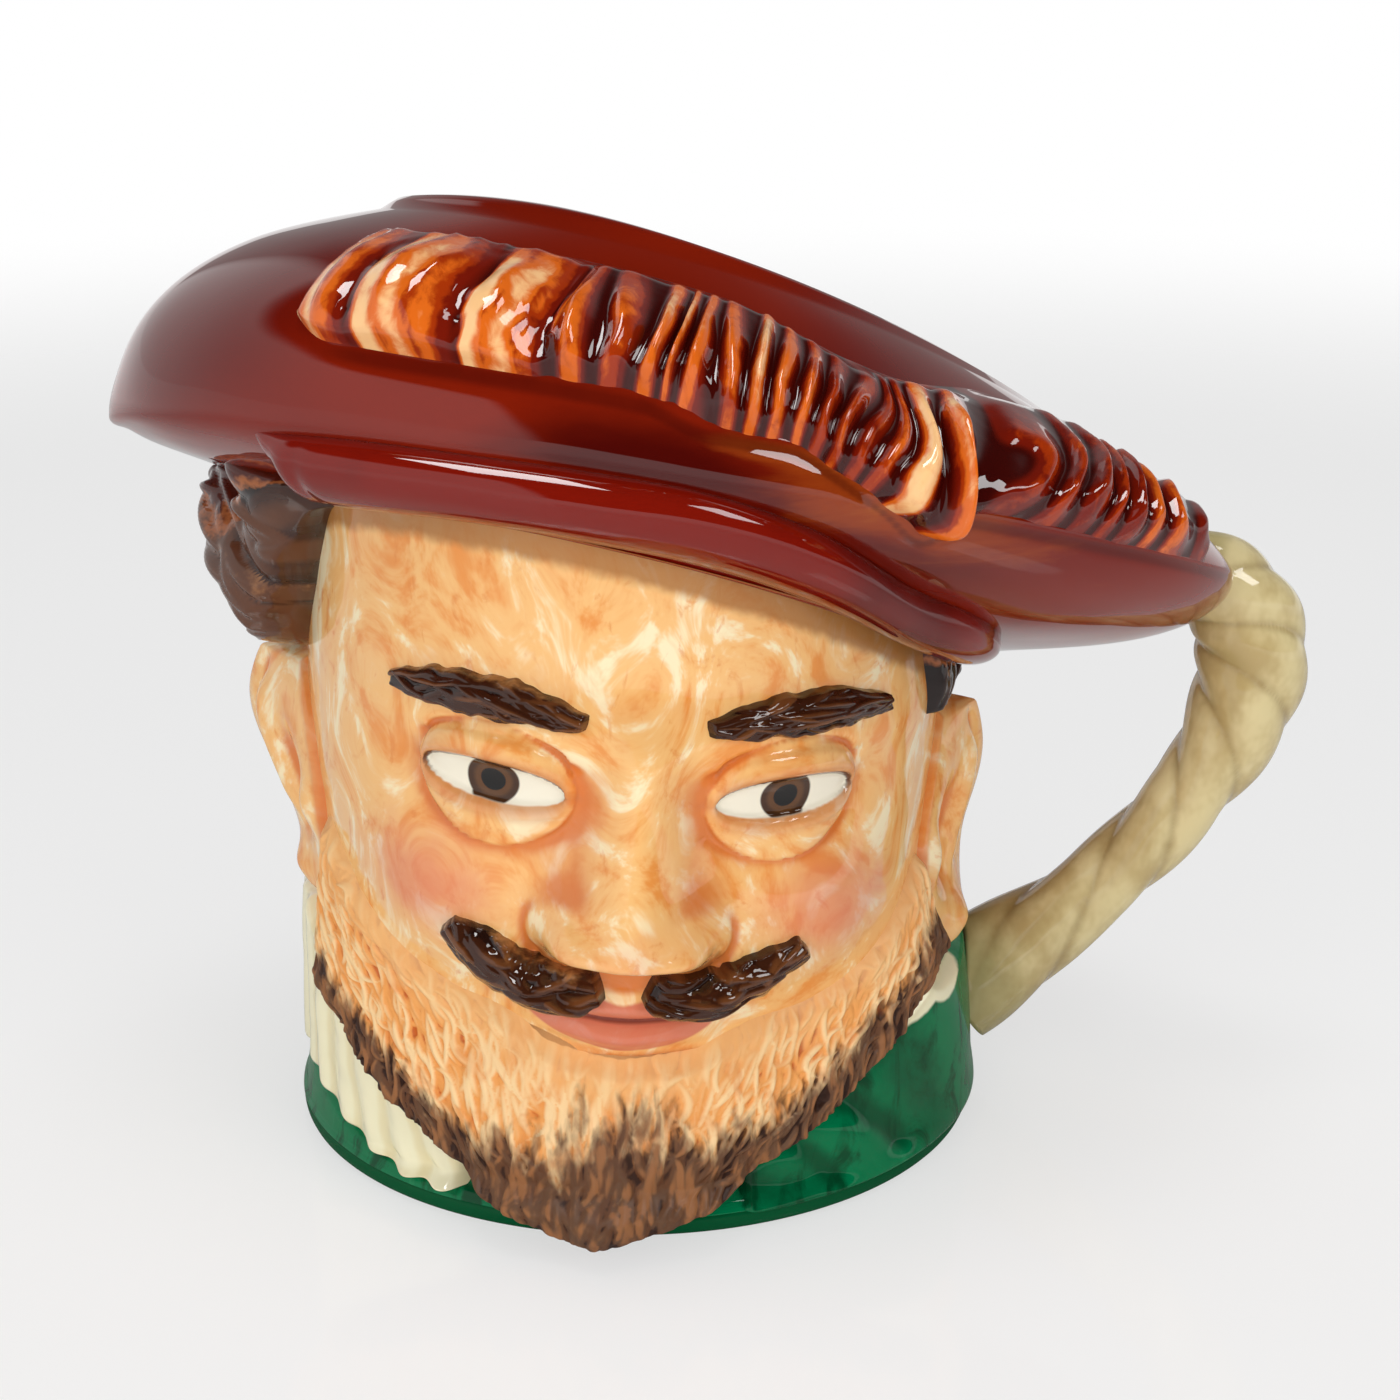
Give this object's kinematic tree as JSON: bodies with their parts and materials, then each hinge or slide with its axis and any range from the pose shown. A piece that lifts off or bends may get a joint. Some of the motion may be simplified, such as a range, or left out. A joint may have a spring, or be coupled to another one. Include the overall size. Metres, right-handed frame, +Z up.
{
  "type": "character jug",
  "caption": "Glazed earthenware jug shaped as a bearded head in a broad slanting cap with a gathered plume, a ruff and a coat collar, with a twisted rope for a handle",
  "frame": {"origin": "middle of the foot ring's circle, on the plane that the jug rests on", "axes": "+Z is up, -Y is the way the face looks, and +X runs to the viewer's right, where the handle is"},
  "size_m": [0.1822, 0.1281, 0.1454],
  "materials": {
    "bare_clay": "bare biscuit clay, matt",
    "green_glaze": "brushed green under a clear gloss glaze",
    "flesh_glaze": "cream flesh with orange and rose washes under gloss",
    "red_brown_glaze": "deep red-brown gloss that thins to amber",
    "orange_glaze": "orange and cream ridges, dark grooves, gloss",
    "khaki_glaze": "khaki cream gloss with olive in the grooves",
    "brown_glaze": "streaked dark brown gloss",
    "beard_glaze": "orange flesh running to dark brown, gloss",
    "dark_glaze": "dark brown with tan streaks, gloss",
    "cream_glaze": "cream gloss"
  },
  "bodies": {
    "root": {"foot_ring": "bare_clay", "coat_cup": "green_glaze", "head_shell": "flesh_glaze", "cap_shell": "red_brown_glaze", "cap_band": "red_brown_glaze", "cap_plume": "orange_glaze", "rope_handle": "khaki_glaze", "left_ear": "flesh_glaze", "right_ear": "flesh_glaze", "left_hair": "brown_glaze", "right_hair": "brown_glaze", "back_hair": "brown_glaze", "beard": "beard_glaze", "left_moustache": "dark_glaze", "right_moustache": "dark_glaze", "left_eyebrow": "dark_glaze", "right_eyebrow": "dark_glaze", "ruff": "cream_glaze", "ruff_edge": "cream_glaze", "coat_collar": "green_glaze"}
  },
  "joints": []
}
